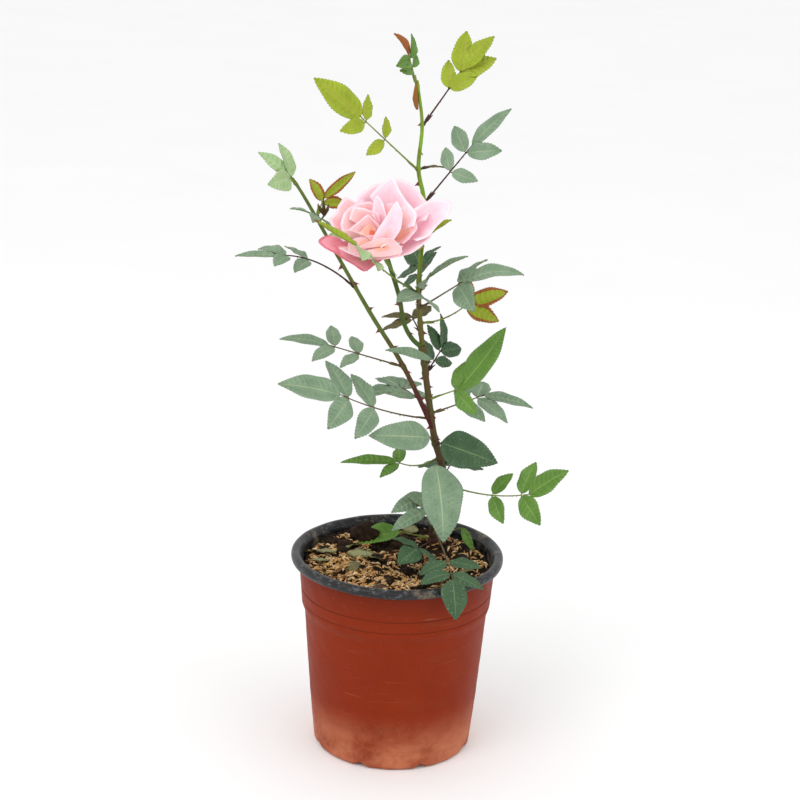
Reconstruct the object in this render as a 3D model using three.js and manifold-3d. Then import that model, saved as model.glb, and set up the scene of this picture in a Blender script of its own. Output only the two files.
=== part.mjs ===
// Rose bush in a nursery pot. Millimetres, +Z up, origin at the middle of the pot's underside.
// +X is to the right and -Y is towards the viewer, on the side where the bloom faces.
import * as THREE from "three";
import { mergeVertices } from "three/addons/utils/BufferGeometryUtils.js";
import Module from "manifold-3d";

const wasm = await Module();
wasm.setup();

// Driving dimensions.
const RIM_RADIUS = 101;
const POT_HEIGHT = 193;
const BEAD_HEIGHT = 9;
const FOOT_RADIUS = 76;
const BAND_FOOT = 142;
const BAND_RADIUS = 90.2;
const WALL = 1.8;
const LINING = 1.2;
const SOIL_TOP = 179;
const GAP = 0.3;
const POT_SEGMENTS = 28;
const SOIL_SEGMENTS = 20;
const DRAIN_NOTCHES = 8;
const LEAF_HALF_THICKNESS = 1.1;
const LEAF_WIDTH = 0.56;
const LEAFLET_RINGS = 3;
const SIDE_SPREAD = 58;
const PETIOLE_RADIUS = 1.1;

// Outer wall of the pot: height against radius, from the foot up to the underside of the rim.
// The upper band stands a little proud of the wall.
const WALL_PROFILE = [
  { z: 2, r: FOOT_RADIUS },
  { z: 50, r: 80.8 },
  { z: 95, r: 84.4 },
  { z: 134, r: 87.4 },
  { z: BAND_FOOT, r: BAND_RADIUS },
  { z: POT_HEIGHT - BEAD_HEIGHT, r: 93.6 },
];

const COLORS = {
  terracotta: 0xa23c1c,
  black: 0x26272a,
  soil: 0x3a2a20,
  bark: 0x5a4a34,
  green: 0x5f8f4a,
  petal: 0xf4a9b4,
};

// Limbs: a route of hand-picked points from foot to tip, and the radius at each end.
const LIMBS = {
  main_stem: {
    through: [[35, 40, 168], [35, 40, 200], [40, 35, 265], [32, 35, 295], [25, 35, 335], [17, 30, 388]],
    radius: [4, 2.8], flare: 2.2, color: "bark",
  },
  upper_cane: {
    through: [[17, 30, 388], [12, 30, 440], [14, 30, 525], [8, 30, 555], [10, 35, 595], [4, 35, 635]],
    radius: [2.5, 1.4], color: "green",
  },
  bloom_stalk: {
    through: [[17, 30, 386], [8, 25, 395], [0, 20, 410], [-6, 10, 440], [-20, 0, 485]],
    radius: [2.2, 2], color: "green",
  },
  left_cane: {
    through: [[31, 35, 303], [0, 20, 370], [-30, 10, 420], [-55, 0, 465], [-95, -5, 535], [-105, -5, 550]],
    radius: [2.4, 1.3], color: "bark",
  },
};

// Compound leaves, each set by hand. cane and up say where a leaf starts. stalk is the line from there
// to its end leaflet and end is the end leaflet itself. Both give the hour they point to on a clock
// face laid flat, their rise in degrees and their length. Twelve is away from the viewer, three is
// right, six is towards the viewer. bow is how far the stalk arches up and roll turns the blades about
// their own line. pairs, side and gap are the number of side pairs, the length of their leaflets and
// the distance between pairs. spread is a side leaflet's angle from the stalk and wide is a blade's
// width over its length, where they differ from the usual.
const LEAVES = {
  leaf_top_shoot: {
    cane: "upper_cane", up: 630, stalk: [8, 70, 30], end: [8, 55, 25],
    pairs: 2, side: 25, gap: 8,
  },
  leaf_top_right: {
    cane: "upper_cane", up: 595, stalk: [2, 50, 65], end: [3, 50, 40],
    roll: 40, pairs: 2, side: 35, gap: 18, spread: 30,
  },
  leaf_upper_left: {
    cane: "upper_cane", up: 555, stalk: [8, 40, 80], end: [8.5, 40, 55],
    roll: -40, pairs: 2, side: 25, gap: 25,
  },
  leaf_upper_right: {
    cane: "upper_cane", up: 525, stalk: [2, 45, 70], end: [2.5, 45, 50],
    roll: 20, pairs: 2, side: 30, gap: 25,
  },
  leaf_upper_back: {
    cane: "upper_cane", up: 555, stalk: [1.5, 5, 8], end: [1.5, -5, 35],
  },
  leaf_left_tip: {
    cane: "left_cane", up: 545, stalk: [7.5, 45, 12], end: [8.5, 40, 35],
    roll: -15, pairs: 1, side: 35, gap: 8,
  },
  leaf_left_high: {
    cane: "left_cane", up: 515, stalk: [6, 20, 15], end: [6, 0, 25],
    pairs: 1, side: 25, gap: 5,
  },
  leaf_left_brown: {
    cane: "left_cane", up: 515, stalk: [1, 50, 20], end: [2, 35, 40],
    roll: 40, pairs: 1, side: 25, gap: 8,
  },
  leaf_far_left: {
    cane: "left_cane", up: 450, stalk: [8, 25, 85], end: [9, 0, 40],
    bow: 8, pairs: 2, side: 30, gap: 25,
  },
  leaf_over_bloom: {
    cane: "upper_cane", up: 440, stalk: [7, 30, 130], end: [8.5, 30, 45],
    bow: -4, pairs: 2, side: 30, gap: 20,
  },
  young_shoot: {
    cane: "upper_cane", up: 435, stalk: [6, 75, 60], end: [3.5, 40, 35],
    pairs: 1, side: 20, gap: 5,
  },
  leaf_right_small: {
    cane: "upper_cane", up: 440, stalk: [5, 45, 30], end: [3.5, 35, 40],
    pairs: 1, side: 30, gap: 4,
  },
  leaf_behind_bloom: {
    cane: "upper_cane", up: 450, stalk: [12, 15, 35], end: [11.5, 20, 40],
    pairs: 2, side: 30, gap: 18,
  },
  leaf_right_arched: {
    cane: "upper_cane", up: 425, stalk: [4, 35, 55], end: [3.5, 20, 60],
    pairs: 1, side: 40, gap: 10,
  },
  leaf_right_young: {
    cane: "upper_cane", up: 410, stalk: [2, 15, 55], end: [2.5, 15, 40],
    bow: -5, roll: 35, pairs: 1, side: 35, gap: 8,
  },
  leaf_front_pale: {
    cane: "upper_cane", up: 425, stalk: [6, 30, 45], end: [7, 5, 40],
    pairs: 1, side: 30, gap: 5,
  },
  leaf_left_back: {
    cane: "upper_cane", up: 400, stalk: [11.5, 10, 35], end: [10, -5, 35],
    pairs: 1, side: 30, gap: 6,
  },
  leaf_mid_front: {
    cane: "main_stem", up: 370, stalk: [5.5, 25, 25], end: [8, 20, 50],
    roll: -15,
  },
  leaf_right_inner: {
    cane: "main_stem", up: 360, stalk: [1, 30, 35], end: [12, 60, 35],
    pairs: 2, side: 30, gap: 12,
  },
  leaf_right_bright: {
    cane: "main_stem", up: 335, stalk: [4, 25, 35], end: [3.5, 55, 80],
    roll: 40, pairs: 1, side: 30, gap: 4, wide: 0.36,
  },
  leaf_right_long: {
    cane: "main_stem", up: 320, stalk: [2, 10, 60], end: [3, -10, 50],
    pairs: 2, side: 40, gap: 22,
  },
  leaf_left_third: {
    cane: "left_cane", up: 370, stalk: [9.5, 10, 75], end: [9.5, 5, 50],
    pairs: 2, side: 30, gap: 25,
  },
  leaf_left_fourth: {
    cane: "main_stem", up: 315, stalk: [8, 20, 105], end: [8.5, 15, 60],
    bow: -4, roll: -30, pairs: 2, side: 45, gap: 28,
  },
  leaf_left_large: {
    cane: "main_stem", up: 295, stalk: [6.5, 20, 20], end: [8, 10, 65],
    roll: -45,
  },
  leaf_right_large: {
    cane: "main_stem", up: 290, stalk: [5.5, 20, 20], end: [4.5, 0, 70],
    roll: 40,
  },
  leaf_left_lower: {
    cane: "main_stem", up: 275, stalk: [10, -15, 50], end: [9, 0, 55],
    bow: -6, pairs: 1, side: 25, gap: 8,
  },
  leaf_front_large: {
    cane: "main_stem", up: 265, stalk: [6.5, 25, 25], end: [5.5, -55, 75],
  },
  leaf_low_left: {
    cane: "main_stem", up: 225, stalk: [9.5, 40, 15], end: [8, -15, 40],
  },
  leaf_low_left_front: {
    cane: "main_stem", up: 210, stalk: [7, 40, 25], end: [8, -20, 40],
    pairs: 1, side: 25, gap: 5,
  },
  leaf_soil_left: {
    cane: "main_stem", up: 190, stalk: [9.5, 5, 35], end: [8.5, -10, 45],
  },
  leaf_right_low: {
    cane: "main_stem", up: 250, stalk: [4, 5, 95], end: [3.5, 40, 45],
    bow: -6, pairs: 2, side: 35, gap: 30,
  },
  leaf_back_low: {
    cane: "main_stem", up: 240, stalk: [12.5, 20, 45], end: [12, 5, 45],
    bow: 4, pairs: 1, side: 40, gap: 18,
  },
  leaf_back_mid: {
    cane: "main_stem", up: 320, stalk: [10.5, 20, 45], end: [11, 0, 45],
    bow: 4, pairs: 2, side: 40, gap: 18,
  },
  leaf_front_low: {
    cane: "main_stem", up: 200, stalk: [5.75, 0, 125], end: [5.75, -40, 40],
    bow: 4, pairs: 2, side: 35, gap: 25,
  },
  leaf_front_soil: {
    cane: "main_stem", up: 190, stalk: [6.5, 12, 60], end: [7, -5, 35],
    pairs: 1, side: 30, gap: 6,
  },
  leaf_right_drooping: {
    cane: "main_stem", up: 195, stalk: [3.5, 20, 30], end: [4.5, -50, 25],
  },
};

function solidFrom(geometry) {
  const bare = geometry.index ? geometry : geometry.clone();
  bare.deleteAttribute("normal");
  bare.deleteAttribute("uv");
  const merged = mergeVertices(bare, 1e-4);
  return new wasm.Manifold(
    new wasm.Mesh({
      numProp: 3,
      vertProperties: new Float32Array(merged.attributes.position.array),
      triVerts: new Uint32Array(merged.index.array),
    }),
  );
}

function geometryFrom(solid) {
  const mesh = solid.getMesh();
  const geometry = new THREE.BufferGeometry();
  geometry.setAttribute("position", new THREE.BufferAttribute(mesh.vertProperties.slice(), 3));
  geometry.setIndex(new THREE.BufferAttribute(mesh.triVerts.slice(), 1));
  return geometry;
}

// A cut can leave loose slivers: the largest piece is the part.
function largest(solid) {
  const pieces = solid.decompose();
  return pieces.reduce((a, b) => (b.volume() > a.volume() ? b : a));
}

function meshFrom(name, solid, color) {
  const material = new THREE.MeshStandardMaterial({ color: COLORS[color], roughness: 0.7, metalness: 0 });
  const mesh = new THREE.Mesh(geometryFrom(solid), material);
  mesh.name = name;
  return mesh;
}

// Turns a profile of [radius, height] points about the vertical axis.
function turned(points, segments = POT_SEGMENTS) {
  const profile = points.map(([r, z]) => new THREE.Vector2(r, z));
  return new THREE.LatheGeometry(profile, segments).rotateX(Math.PI / 2);
}

// Bends a straight tapered cylinder onto a curve. extra thickens it all over and lengthens both ends.
function taperedLimb(curve, radiusAt, { sides = 8, steps = 12, extra = 0 } = {}) {
  const rod = new THREE.CylinderGeometry(1, 1, 1, sides, steps);
  const place = rod.attributes.position;
  const side = new THREE.Vector3();
  const up = new THREE.Vector3();
  const along = new THREE.Vector3();
  for (let i = 0; i < place.count; i++) {
    const t = place.getY(i) + 0.5;
    const end = t < 1e-6 ? -extra : t > 1 - 1e-6 ? extra : 0;
    curve.getTangent(t, along);
    side.crossVectors(along, new THREE.Vector3(0.3, 1, 0.1)).normalize();
    up.crossVectors(side, along);
    const radius = radiusAt(t) + extra;
    const point = curve
      .getPoint(t)
      .addScaledVector(along, end)
      .addScaledVector(side, place.getX(i) * radius)
      .addScaledVector(up, place.getZ(i) * radius);
    place.setXYZ(i, point.x, point.y, point.z);
  }
  return solidFrom(rod);
}

function limbCurve({ through }) {
  return new THREE.CatmullRomCurve3(through.map((p) => new THREE.Vector3(...p)));
}

function limbRadius({ radius: [foot, tip], flare = 0 }) {
  return (t) => foot + (tip - foot) * t + flare * Math.exp(-t * 14);
}

function limbSolid(limb, extra = 0) {
  return taperedLimb(limbCurve(limb), limbRadius(limb), { sides: 6, steps: 10, extra });
}

// The point of a limb at a given height, and its radius there.
function limbAt(limb, height) {
  const curve = limbCurve(limb);
  let low = 0;
  let high = 1;
  for (let i = 0; i < 24; i++) {
    const mid = (low + high) / 2;
    if (curve.getPoint(mid).z < height) low = mid;
    else high = mid;
  }
  return { point: curve.getPoint(low), radius: limbRadius(limb)(low) };
}

// One leaflet: a pointed lens from base along forward, widest a third of the way up, edges raised.
function leafletSolid(base, forward, normal, length, width, thick) {
  const ball = new THREE.SphereGeometry(1, 4, LEAFLET_RINGS);
  const place = ball.attributes.position;
  const side = new THREE.Vector3().crossVectors(normal, forward).normalize();
  const up = new THREE.Vector3().crossVectors(forward, side).normalize();
  for (let i = 0; i < place.count; i++) {
    const t = (1 - place.getY(i)) / 2;
    const ring = Math.hypot(place.getX(i), place.getZ(i));
    const onRing = ring > 1e-6;
    const across = onRing ? place.getX(i) / ring : 0;
    const above = onRing ? place.getZ(i) / ring : 0;
    const swell = onRing ? Math.sin(Math.PI * t ** 0.8) ** 0.6 : 0;
    const x = (across * swell * width) / 2;
    const z = above * thick + Math.abs(across) * swell * width * 0.08;
    const point = base.clone().addScaledVector(forward, t * length);
    point.addScaledVector(side, x).addScaledVector(up, z);
    place.setXYZ(i, point.x, point.y, point.z);
  }
  return solidFrom(ball);
}

// A direction from an hour on the flat clock face and a rise in degrees.
function direction(hour, rise) {
  const turn = THREE.MathUtils.degToRad(90 - 30 * hour);
  const lift = THREE.MathUtils.degToRad(rise);
  return new THREE.Vector3(Math.cos(turn) * Math.cos(lift), Math.sin(turn) * Math.cos(lift), Math.sin(lift));
}

// A leaf's stalk runs from the skin of its cane to the foot of its end leaflet, bowed up or down between.
function stalkLine(leaf) {
  const { point, radius } = limbAt(LIMBS[leaf.cane], leaf.up);
  const [hour, rise, length] = leaf.stalk;
  const start = point.clone().addScaledVector(direction(hour, 0), radius + GAP * 2);
  const end = point.clone().addScaledVector(direction(hour, rise), length);
  const middle = start.clone().lerp(end, 0.5);
  middle.z += (leaf.bow ?? 0) * 2;
  return new THREE.QuadraticBezierCurve3(start, middle, end);
}

function leafSolid(leaf, extra = 0) {
  const line = stalkLine(leaf);
  const thick = LEAF_HALF_THICKNESS + extra;
  const shape = { sides: 4, steps: leaf.stalk[2] > 40 ? 3 : 1, extra };
  let solid = taperedLimb(line, (t) => PETIOLE_RADIUS * (1.3 - 0.4 * t), shape);
  const wide = leaf.wide ?? LEAF_WIDTH;
  const addLeaflet = (base, forward, spread, length) => {
    const level = new THREE.Vector3().crossVectors(new THREE.Vector3(0, 0, 1), forward).normalize();
    const normal = new THREE.Vector3().crossVectors(forward, level);
    normal.applyAxisAngle(forward, THREE.MathUtils.degToRad(leaf.roll ?? 0));
    const out = forward.clone().applyAxisAngle(normal, THREE.MathUtils.degToRad(spread));
    const foot = base.clone().addScaledVector(out, -1);
    solid = solid.add(leafletSolid(foot, out, normal, length + 1, length * wide + extra, thick));
  };
  const [hour, rise, blade] = leaf.end;
  const endway = direction(hour, rise);
  addLeaflet(line.getPoint(1), endway, 0, blade);
  const spread = leaf.spread ?? SIDE_SPREAD;
  for (let pair = 0; pair < (leaf.pairs ?? 0); pair++) {
    const t = Math.max(0.15, 1 - (3 + leaf.gap * (pair + 0.15)) / leaf.stalk[2]);
    const along = line.getTangent(t).lerp(endway, 0.3).normalize();
    const length = leaf.side * (1 - 0.15 * pair);
    addLeaflet(line.getPoint(t), along, spread, length);
    addLeaflet(line.getPoint(t), along, -spread, length);
  }
  return solid;
}

// The pot: a wall with a raised band, a flat underside, and a foot edge with drain notches.
function potShell() {
  const outer = WALL_PROFILE.map(({ z, r }) => [r, z]);
  const inner = [
    [WALL_PROFILE.at(-1).r - WALL, POT_HEIGHT - BEAD_HEIGHT],
    [BAND_RADIUS - WALL, BAND_FOOT + 1],
    [87.4 - WALL, 134],
    [FOOT_RADIUS - WALL - 0.5, 4],
    [0, 3],
  ];
  const shell = solidFrom(turned([[0, 0], [FOOT_RADIUS - 1.5, 0], ...outer, ...inner]));
  let cut = shell;
  for (let i = 0; i < DRAIN_NOTCHES; i++) {
    const turn = ((i + 0.5) / DRAIN_NOTCHES) * Math.PI * 2;
    const notch = new THREE.BoxGeometry(16, 9, 5).translate(FOOT_RADIUS - 2, 0, 0).rotateZ(turn);
    cut = cut.subtract(solidFrom(notch));
  }
  return largest(cut);
}

// The rolled black rim with the black lining that reaches down behind the soil.
function potRim() {
  const top = POT_HEIGHT;
  const under = POT_HEIGHT - BEAD_HEIGHT + GAP;
  const wallTop = WALL_PROFILE.at(-1).r - WALL - GAP;
  const low = { z: 150, r: BAND_RADIUS - WALL - GAP };
  const bead = [
    [wallTop, under],
    [RIM_RADIUS - 2, under],
    [RIM_RADIUS, under + 3],
    [RIM_RADIUS - 1, top - 2],
    [RIM_RADIUS - 4, top],
    [RIM_RADIUS - 8.5, top - 0.6],
    [wallTop - LINING, top - 5],
    [low.r - LINING, low.z],
    [low.r, low.z],
    [wallTop, under],
  ];
  return solidFrom(turned(bead));
}

// Soil: fills the pot, with an uneven, clodded top that is a little higher round the stem.
function soilBody() {
  const wall = [
    [0, 4.3],
    [FOOT_RADIUS - WALL - 1.2, 4.8],
    [87.4 - WALL - 0.8, 134],
    [88.2 - WALL - LINING, 149],
    [90 - WALL - LINING - GAP * 2, SOIL_TOP],
  ];
  const rings = [70, 50, 32, 14].map((r) => [r, SOIL_TOP]);
  const body = turned([...wall, ...rings, [0, SOIL_TOP]], SOIL_SEGMENTS);
  const place = body.attributes.position;
  for (let i = 0; i < place.count; i++) {
    const x = place.getX(i);
    const y = place.getY(i);
    if (place.getZ(i) < SOIL_TOP - 0.5 || Math.hypot(x, y) > 80) continue;
    const lumps = 1.6 * Math.sin(x * 0.17 + 1) * Math.cos(y * 0.21) + 1.1 * Math.sin(x * 0.31 - y * 0.27);
    const clod = 7 * Math.exp(-((x + 30) ** 2 + (y - 52) ** 2) / 220);
    const slope = 0.05 * y;
    const mound = 3 * Math.exp(-((x - 35) ** 2 + (y - 40) ** 2) / 700);
    place.setZ(i, SOIL_TOP + slope + lumps + clod + mound);
  }
  return solidFrom(body);
}

// The open bloom: a tilted cup of petals, its rim lobed and its underside drawn in to the stalk.
function bloomBody(extra = 0) {
  const size = { width: 60, depth: 44, height: 40 };
  const ball = new THREE.SphereGeometry(1, 15, 9);
  const place = ball.attributes.position;
  for (let i = 0; i < place.count; i++) {
    const x = place.getX(i);
    const up = place.getY(i);
    const z = place.getZ(i);
    const turn = Math.atan2(z, x);
    const lobes = 1 + 0.07 * Math.cos(turn * 5 + 0.4) + 0.05 * Math.cos(turn * 3 - 1);
    const draw = up < 0 ? 1 - 0.35 * up * up : 1;
    const point = new THREE.Vector3(
      x * (size.width + extra) * lobes * draw,
      -z * (size.depth + extra) * lobes * draw,
      up * (size.height + extra) * (up < 0 ? 0.95 : 0.8 + 0.12 * Math.cos(turn * 2)),
    );
    place.setXYZ(i, point.x, point.y, point.z);
  }
  ball.rotateX(THREE.MathUtils.degToRad(32)).rotateY(THREE.MathUtils.degToRad(-16));
  ball.translate(-25, -13, 515);
  return solidFrom(ball);
}

const plant = new THREE.Group();
const clearances = [];

// Adds a piece, cut clear of everything that is already there.
function place(name, solid, color, wider) {
  let cut = solid;
  const box = solid.boundingBox();
  for (const other of clearances) {
    const far = [0, 1, 2].some((k) => box.min[k] > other.box.max[k] || box.max[k] < other.box.min[k]);
    if (!far) cut = cut.subtract(other.solid);
  }
  plant.add(meshFrom(name, largest(cut), color));
  clearances.push({ solid: wider, box: wider.boundingBox() });
}

for (const [name, limb] of Object.entries(LIMBS)) {
  place(name, limbSolid(limb), limb.color, limbSolid(limb, GAP));
}
place("bloom", bloomBody(), "petal", bloomBody(GAP));
for (const [name, leaf] of Object.entries(LEAVES)) {
  place(name, leafSolid(leaf), "green", leafSolid(leaf, GAP));
}
plant.add(meshFrom("pot_shell", potShell(), "terracotta"));
plant.add(meshFrom("pot_rim", potRim(), "black"));
const soil = soilBody().subtract(limbSolid(LIMBS.main_stem, GAP));
plant.add(meshFrom("soil", largest(soil), "soil"));

export default plant;
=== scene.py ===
"""Looks of the potted rose bush: thorned canes, toothed compound leaves, one open bloom and the pot."""

import math

import bpy
import numpy as np
from mathutils import Matrix, Vector, noise


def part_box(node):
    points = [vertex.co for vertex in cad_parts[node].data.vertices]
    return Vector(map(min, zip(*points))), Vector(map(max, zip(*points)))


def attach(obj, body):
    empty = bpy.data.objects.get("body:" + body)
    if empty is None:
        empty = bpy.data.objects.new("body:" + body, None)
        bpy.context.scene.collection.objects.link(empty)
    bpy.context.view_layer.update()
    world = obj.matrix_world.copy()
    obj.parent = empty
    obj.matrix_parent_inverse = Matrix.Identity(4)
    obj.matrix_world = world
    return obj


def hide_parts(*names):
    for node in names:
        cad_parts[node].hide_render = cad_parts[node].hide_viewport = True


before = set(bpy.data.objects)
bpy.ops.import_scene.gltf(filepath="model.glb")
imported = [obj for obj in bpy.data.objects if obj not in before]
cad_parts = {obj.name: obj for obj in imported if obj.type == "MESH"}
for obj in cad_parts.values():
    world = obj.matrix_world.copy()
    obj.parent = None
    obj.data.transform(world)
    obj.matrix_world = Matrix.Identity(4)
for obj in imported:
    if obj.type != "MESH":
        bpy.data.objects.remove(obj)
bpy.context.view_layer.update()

# Lengths below are in millimetres and turn into metres when a mesh is made. Light and camera are in metres.
MM = 0.001
SEED = 20
random = np.random.default_rng(SEED)


# ---------------- sizes from the frame

def box_mm(node):
    low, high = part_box(node)
    return np.array(low) / MM, np.array(high) / MM


rim_low, rim_high = box_mm("pot_rim")
shell_low, shell_high = box_mm("pot_shell")
RIM_RADIUS = (rim_high[0] - rim_low[0]) / 2
POT_HEIGHT = rim_high[2]
BEAD_HEIGHT = 9
WALL_TOP = POT_HEIGHT - BEAD_HEIGHT
WALL_TOP_RADIUS = (shell_high[0] - shell_low[0]) / 2
FOOT_RADIUS = RIM_RADIUS * 0.752
WALL = 1.8
SOIL_TOP = POT_HEIGHT - 14
SOIL_RADIUS = RIM_RADIUS - 13.2
DRAIN_NOTCHES = 8


# ---------------- directions and curves

def unit(vector):
    vector = np.asarray(vector, float)
    return vector / np.linalg.norm(vector, axis=-1, keepdims=True)


def turned(vector, axis, degrees):
    """vector turned about a unit axis."""
    angle = math.radians(degrees)
    along = axis * np.dot(axis, vector)
    return along + (vector - along) * math.cos(angle) + np.cross(axis, vector) * math.sin(angle)


def toward(hour, rise):
    """A direction from an hour on a flat clock face, twelve being away from the viewer, and a rise."""
    heading = math.radians(90 - 30 * hour)
    lift = math.radians(rise)
    return np.array([math.cos(heading) * math.cos(lift), math.sin(heading) * math.cos(lift), math.sin(lift)])


def smooth_curve(points, per_span=16):
    """A centripetal Catmull-Rom curve through the points, as a dense line."""
    points = np.asarray(points, float)
    padded = np.vstack([2 * points[0] - points[1], points, 2 * points[-1] - points[-2]])
    line = []
    for i in range(1, len(padded) - 2):
        p0, p1, p2, p3 = padded[i - 1:i + 3]
        d0, d1, d2 = (max(np.linalg.norm(b - a) ** 0.5, 1e-4) for a, b in ((p0, p1), (p1, p2), (p2, p3)))
        t1 = ((p1 - p0) / d0 - (p2 - p0) / (d0 + d1) + (p2 - p1) / d1) * d1
        t2 = ((p2 - p1) / d1 - (p3 - p1) / (d1 + d2) + (p3 - p2) / d2) * d1
        w = np.linspace(0, 1, per_span, endpoint=False)[:, None]
        line.append(p1 + t1 * w + (3 * (p2 - p1) - 2 * t1 - t2) * w ** 2 + (2 * (p1 - p2) + t1 + t2) * w ** 3)
    return np.vstack(line + [points[-1:]])


def arch(start, middle, end):
    """A quadratic curve from start to end, pulled towards middle."""
    t = np.linspace(0, 1, 22)[:, None]
    return start * (1 - t) ** 2 + middle * 2 * t * (1 - t) + end * t ** 2


def frames_along(path):
    """Unit tangents of a line, and two unit directions square to it that don't spin."""
    tangents = unit(np.gradient(path, axis=0))
    side = unit(np.cross(tangents[0], [0.3, 1, 0.1]))
    sides = []
    for tangent in tangents:
        side = unit(side - tangent * np.dot(side, tangent))
        sides.append(side)
    sides = np.array(sides)
    return tangents, sides, np.cross(tangents, sides)


# ---------------- joined meshes from arrays

class Heap:
    """Gathers bits into one joined mesh. Every face is a quad, and its kind is its material's slot."""

    def __init__(self):
        self.points = []
        self.quads = []
        self.kinds = []
        self.count = 0

    def add(self, points, quads, kinds):
        self.points.append(points.reshape(-1, 3))
        self.quads.append(quads.reshape(-1, 4) + self.count)
        self.kinds.append(np.broadcast_to(kinds, len(self.quads[-1])))
        self.count += len(self.points[-1])

    def build(self, name, materials):
        points = np.vstack(self.points) * MM
        quads = np.vstack(self.quads).astype(np.int32)
        mesh = bpy.data.meshes.new(name)
        mesh.vertices.add(len(points))
        mesh.vertices.foreach_set("co", points.astype(np.float32).ravel())
        mesh.loops.add(quads.size)
        mesh.loops.foreach_set("vertex_index", quads.ravel())
        mesh.polygons.add(len(quads))
        mesh.polygons.foreach_set("loop_start", np.arange(0, quads.size, 4, dtype=np.int32))
        mesh.polygons.foreach_set("material_index", np.concatenate(self.kinds).astype(np.int32))
        mesh.polygons.foreach_set("use_smooth", np.ones(len(quads), bool))
        for material in materials:
            mesh.materials.append(material)
        mesh.update(calc_edges=True)
        mesh.validate()
        piece = bpy.data.objects.new(name, mesh)
        bpy.context.scene.collection.objects.link(piece)
        return piece


def grid_quads(rows, columns, wrap=False):
    """Faces of a grid, facing the side where columns cross rows point."""
    i, j = np.meshgrid(np.arange(rows - 1), np.arange(columns if wrap else columns - 1), indexing="ij")
    right = (j + 1) % columns
    low = i * columns
    high = low + columns
    return np.stack([low + j, low + right, high + right, high + j], -1)


def add_shell(heap, top, under, top_kinds, under_kinds, rim_kind):
    """A thin closed sheet from its upper and lower grids."""
    rows, columns = top.shape[:2]
    size = rows * columns
    upper = grid_quads(rows, columns)
    lower = upper[..., ::-1] + size
    left = np.arange(rows) * columns
    right = left + columns - 1
    first = np.arange(columns)
    last = first + (rows - 1) * columns
    edges = []
    for line in (left[::-1], right, first, last[::-1]):
        edges.append(np.stack([line[:-1] + size, line[1:] + size, line[1:], line[:-1]], -1))
    quads = np.vstack([upper.reshape(-1, 4), lower.reshape(-1, 4)] + edges)
    kinds = np.concatenate([np.broadcast_to(top_kinds, upper.shape[:2]).ravel(),
                            np.broadcast_to(under_kinds, upper.shape[:2]).ravel(),
                            np.full(sum(len(e) for e in edges), rim_kind)])
    heap.add(np.concatenate([top.reshape(-1, 3), under.reshape(-1, 3)]), quads, kinds)


def lid(ring):
    """Quads that close a ring with an even number of points."""
    n = len(ring)
    return np.array([[ring[k], ring[k + 1], ring[n - 2 - k], ring[n - 1 - k]] for k in range(n // 2 - 1)])


def body_quads(rows, columns):
    """Faces of a grid that wraps round and is closed at both ends."""
    ring = np.arange(columns)
    return np.vstack([grid_quads(rows, columns, wrap=True).reshape(-1, 4), lid(ring[::-1]),
                      lid(ring + (rows - 1) * columns)])


def add_tube(heap, path, radii, kind, sides=8, swell=None, flat=1.0):
    """A closed tube along a line. swell scales each point's distance and flat narrows it one way."""
    path = np.asarray(path, float)
    _, across, up = frames_along(path)
    angles = np.arange(sides) * 2 * math.pi / sides
    reach = np.asarray(radii)[:, None] * (1 if swell is None else swell)
    reach = np.broadcast_to(reach, (len(path), sides))
    points = (path[:, None] + across[:, None] * (reach * np.cos(angles))[..., None]
              + up[:, None] * (reach * np.sin(angles) * flat)[..., None])
    heap.add(points, body_quads(len(path), sides), kind)


def add_turned(heap, profile, kinds, columns, shape):
    """A closed ring or body turned from a closed profile. shape is a function that moves its points."""
    profile = np.asarray(profile, float)
    rows = len(profile)
    angles = np.arange(columns) * 2 * math.pi / columns
    points = np.stack([profile[:, :1] * np.cos(angles), profile[:, :1] * np.sin(angles),
                       np.broadcast_to(profile[:, 1:], (rows, columns))], -1)
    points = shape(points, angles)
    here = np.arange(columns)
    there = (here + 1) % columns
    last = (rows - 1) * columns
    seam = np.stack([here + last, there + last, there, here], -1)
    heap.add(points, np.vstack([grid_quads(rows, columns, wrap=True).reshape(-1, 4), seam]), kinds)


def fine(points, step):
    """The corners of an outline with more points between them, at most step apart."""
    points = np.asarray(points, float)
    line = [points[:1]]
    for a, b in zip(points[:-1], points[1:]):
        count = max(1, int(np.ceil(np.linalg.norm(b - a) / step)))
        line.append(a + (b - a) * np.linspace(0, 1, count + 1)[1:, None])
    return np.vstack(line)


# ---------------- materials

def tone(red, green, blue):
    """An sRGB colour of 0 to 255 as linear light."""
    linear = [((c / 255 + 0.055) / 1.055) ** 2.4 if c > 10 else c / 255 / 12.92 for c in (red, green, blue)]
    return (*linear, 1)


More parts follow.
